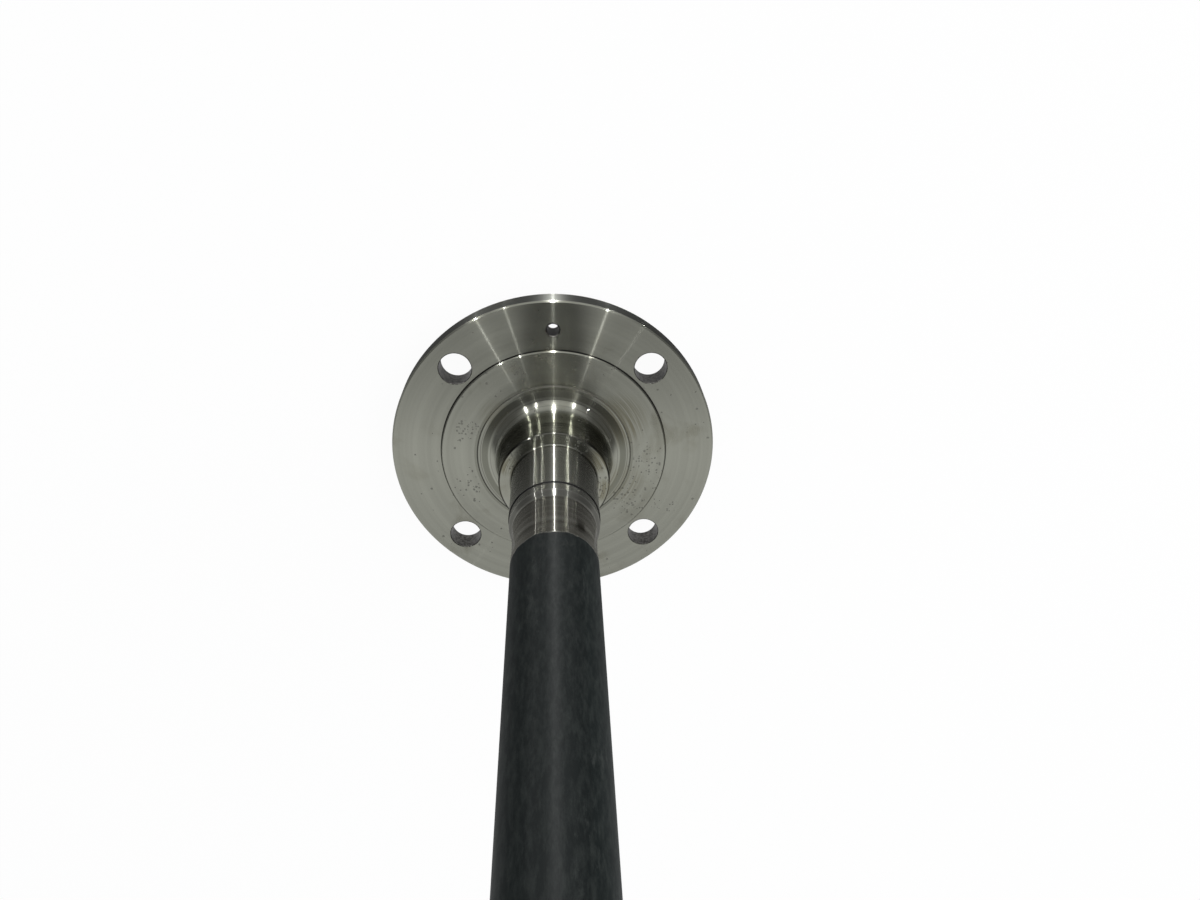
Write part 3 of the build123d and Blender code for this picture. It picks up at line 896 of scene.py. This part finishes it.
def holeMaterial(s):
    material, tree, position = newMaterial("drilledSteel")
    grain = noise(tree, position, *s["grainNoise"])
    colour = mixColour(tree, remap(tree, grain, *s["grainEnds"]), s["colour"], s["dull"])
    # Painted shade inside the narrow locating hole, below its chamfer.
    reach = s["deepReach"] * axle["locatingHoleRadius"]
    small = patchMask(tree, position, {"locating": (0.0, axle["boltCircleRadius"], reach, 1.0)})
    chamferZ = axle["annulusZ"] - axle["locatingHoleChamfer"]
    inside = past(tree, axes(tree, position)[2], chamferZ, s["deepStart"])
    colour = mixColour(tree, times(tree, small, inside), colour, s["holeShade"])
    finishShader(tree, colour, s["roughness"], 1.0, grain, s)
    return material


for material in (turnedMaterial(turnedFinish), seatMaterial(seatFinish), shaftMaterial(shaftFinish),
                 holeMaterial(holeFinish)):
    axleMesh.materials.append(material)
print("finishes made")

studio = {
    "floorSize": 12.0, "floorColour": (0.9, 0.9, 0.9, 1), "floorGlow": 0.955,
    "roomColour": (0.95, 0.97, 1.0, 1), "roomStrength": 0.6,
    "shade": (0.78, 0.79), "shadeTop": (0.7, 0.95),     # darkness of the near side, low and high up
    "nearSide": (-0.46, -0.2), "lowSide": (0.42, 0.12), "lowReach": (-0.5, -0.3),
    "frontWidth": (0.45, 0.98), "frontTop": (0.85, 0.6), "frontGlow": 0.68,
    "window": (0.12, 0.55, 0.826), "windowEdge": (0.9, 0.98), "windowGlow": 0.6,
    "floorShade": 0.6, "floorNear": (0.0, 70.0),        # mm
    "aim": (0.0, 0.0, 30.0),            # mm
    "distance": 1.6,
    # bearing from +Y towards +X and rise above the floor in degrees, width and height in metres, watts
    "spots": {"left": (-42, 34, 0.02, 0.02, 8.0), "leftHigh": (-27, 42, 0.02, 0.02, 4.2),
              "front": (0, 3, 0.04, 0.15, 36.0),
              "rightHigh": (31, 44, 0.02, 0.02, 6.5), "right": (56, 50, 0.02, 0.02, 0.7)},
    "soft": {"key": (62, 46, 1.2, 1.2, 14.0)},
}


def lightPath(tree):
    # One for a mirrored ray, and one for all rays that see the room itself.
    path = addNode(tree, "ShaderNodeLightPath").outputs
    mirrored = maths(tree, "MAXIMUM", path["Is Glossy Ray"], path["Is Transmission Ray"])
    return path["Is Glossy Ray"], maths(tree, "MAXIMUM", path["Is Camera Ray"], mirrored)


def makeFloor(s):
    half = s["floorSize"] / 2
    corners = [(-half, -half, 0), (half, -half, 0), (half, half, 0), (-half, half, 0)]
    mesh = bpy.data.meshes.new("floor")
    mesh.from_pydata(corners, [], [(0, 1, 2, 3)])
    floor = bpy.data.objects.new("floor", mesh)
    bpy.context.scene.collection.objects.link(floor)
    material, tree, position = newMaterial("paleFloor")
    glossy, seen = lightPath(tree)
    matt = addNode(tree, "ShaderNodeBsdfDiffuse", {"Color": s["floorColour"]})
    near = smooth(tree, axes(tree, position)[1], s["floorNear"])
    glow = maths(tree, "SUBTRACT", 1.0, times(tree, near, s["floorShade"], glossy))
    white = addNode(tree, "ShaderNodeEmission", {"Color": (1, 1, 1, 1), "Strength": glow})
    lit = mixShader(tree, times(tree, seen, s["floorGlow"]), matt, white)
    clear = addNode(tree, "ShaderNodeBsdfTransparent")
    under = addNode(tree, "ShaderNodeNewGeometry").outputs["Backfacing"]
    both = mixShader(tree, under, lit, clear)
    addNode(tree, "ShaderNodeOutputMaterial", {0: both.outputs[0]})
    mesh.materials.append(material)


def makeWorld(s):
    # A room that the camera sees white. In reflections its near side is dark and reaches further round low
    # down, as with black cards round a metal part. They leave a bright gap straight behind the camera, and a
    # window above it where a direction's dot product with the window's is high.
    world = bpy.data.worlds.new("studio")
    bpy.context.scene.world = world
    world.use_nodes = True
    tree = world.node_tree
    tree.nodes.clear()
    glossy, seen = lightPath(tree)
    looking = addNode(tree, "ShaderNodeTexCoord").outputs["Generated"]
    _, ahead, up = axes(tree, looking)
    low = times(tree, smooth(tree, up, s["lowSide"]), smooth(tree, ahead, s["lowReach"]))
    dark = times(tree, maths(tree, "MAXIMUM", smooth(tree, ahead, s["nearSide"]), low), glossy)
    shade = remap(tree, up, *s["shadeTop"], *s["shade"])
    strength = maths(tree, "SUBTRACT", 1.0, times(tree, dark, shade))
    level = axes(tree, vectorMaths(tree, "NORMALIZE", {0: flattened(tree, looking)}))[1]
    front = times(tree, smooth(tree, level, s["frontWidth"]), smooth(tree, up, s["frontTop"]), glossy)
    strength = maths(tree, "MULTIPLY_ADD", front, s["frontGlow"], strength)
    facing = vectorMaths(tree, "DOT_PRODUCT", {0: looking, 1: Vector(s["window"]).normalized()})
    window = times(tree, smooth(tree, facing, s["windowEdge"]), glossy)
    strength = maths(tree, "MULTIPLY_ADD", window, s["windowGlow"], strength)
    room = addNode(tree, "ShaderNodeBackground", {"Color": s["roomColour"], "Strength": s["roomStrength"]})
    white = addNode(tree, "ShaderNodeBackground", {"Color": (1, 1, 1, 1), "Strength": strength})
    both = mixShader(tree, seen, room, white)
    addNode(tree, "ShaderNodeOutputWorld", {0: both.outputs[0]})


def makeLamps(s):
    # The spots are small and only give the metal its highlights. The soft lamp gives light and shadow alone.
    aim = Vector(s["aim"]) * mm
    for kind in ("spots", "soft"):
        for name, (bearing, rise, width, height, watts) in s[kind].items():
            b, e = math.radians(bearing), math.radians(rise)
            toward = Vector((math.cos(e) * math.sin(b), math.cos(e) * math.cos(b), math.sin(e)))
            data = bpy.data.lights.new(name, "AREA")
            data.shape, data.size, data.size_y, data.energy = "RECTANGLE", width, height, watts
            lamp = bpy.data.objects.new(name, data)
            lamp.location = aim + toward * s["distance"]
            lamp.rotation_mode = "QUATERNION"
            lamp.rotation_quaternion = toward.to_track_quat("Z", "Y")
            lamp.visible_diffuse = kind == "soft"
            lamp.visible_glossy = kind == "spots"
            bpy.context.scene.collection.objects.link(lamp)


makeFloor(studio)
makeWorld(studio)
makeLamps(studio)
bpy.context.scene.view_settings.view_transform = "Standard"
print("studio ready")
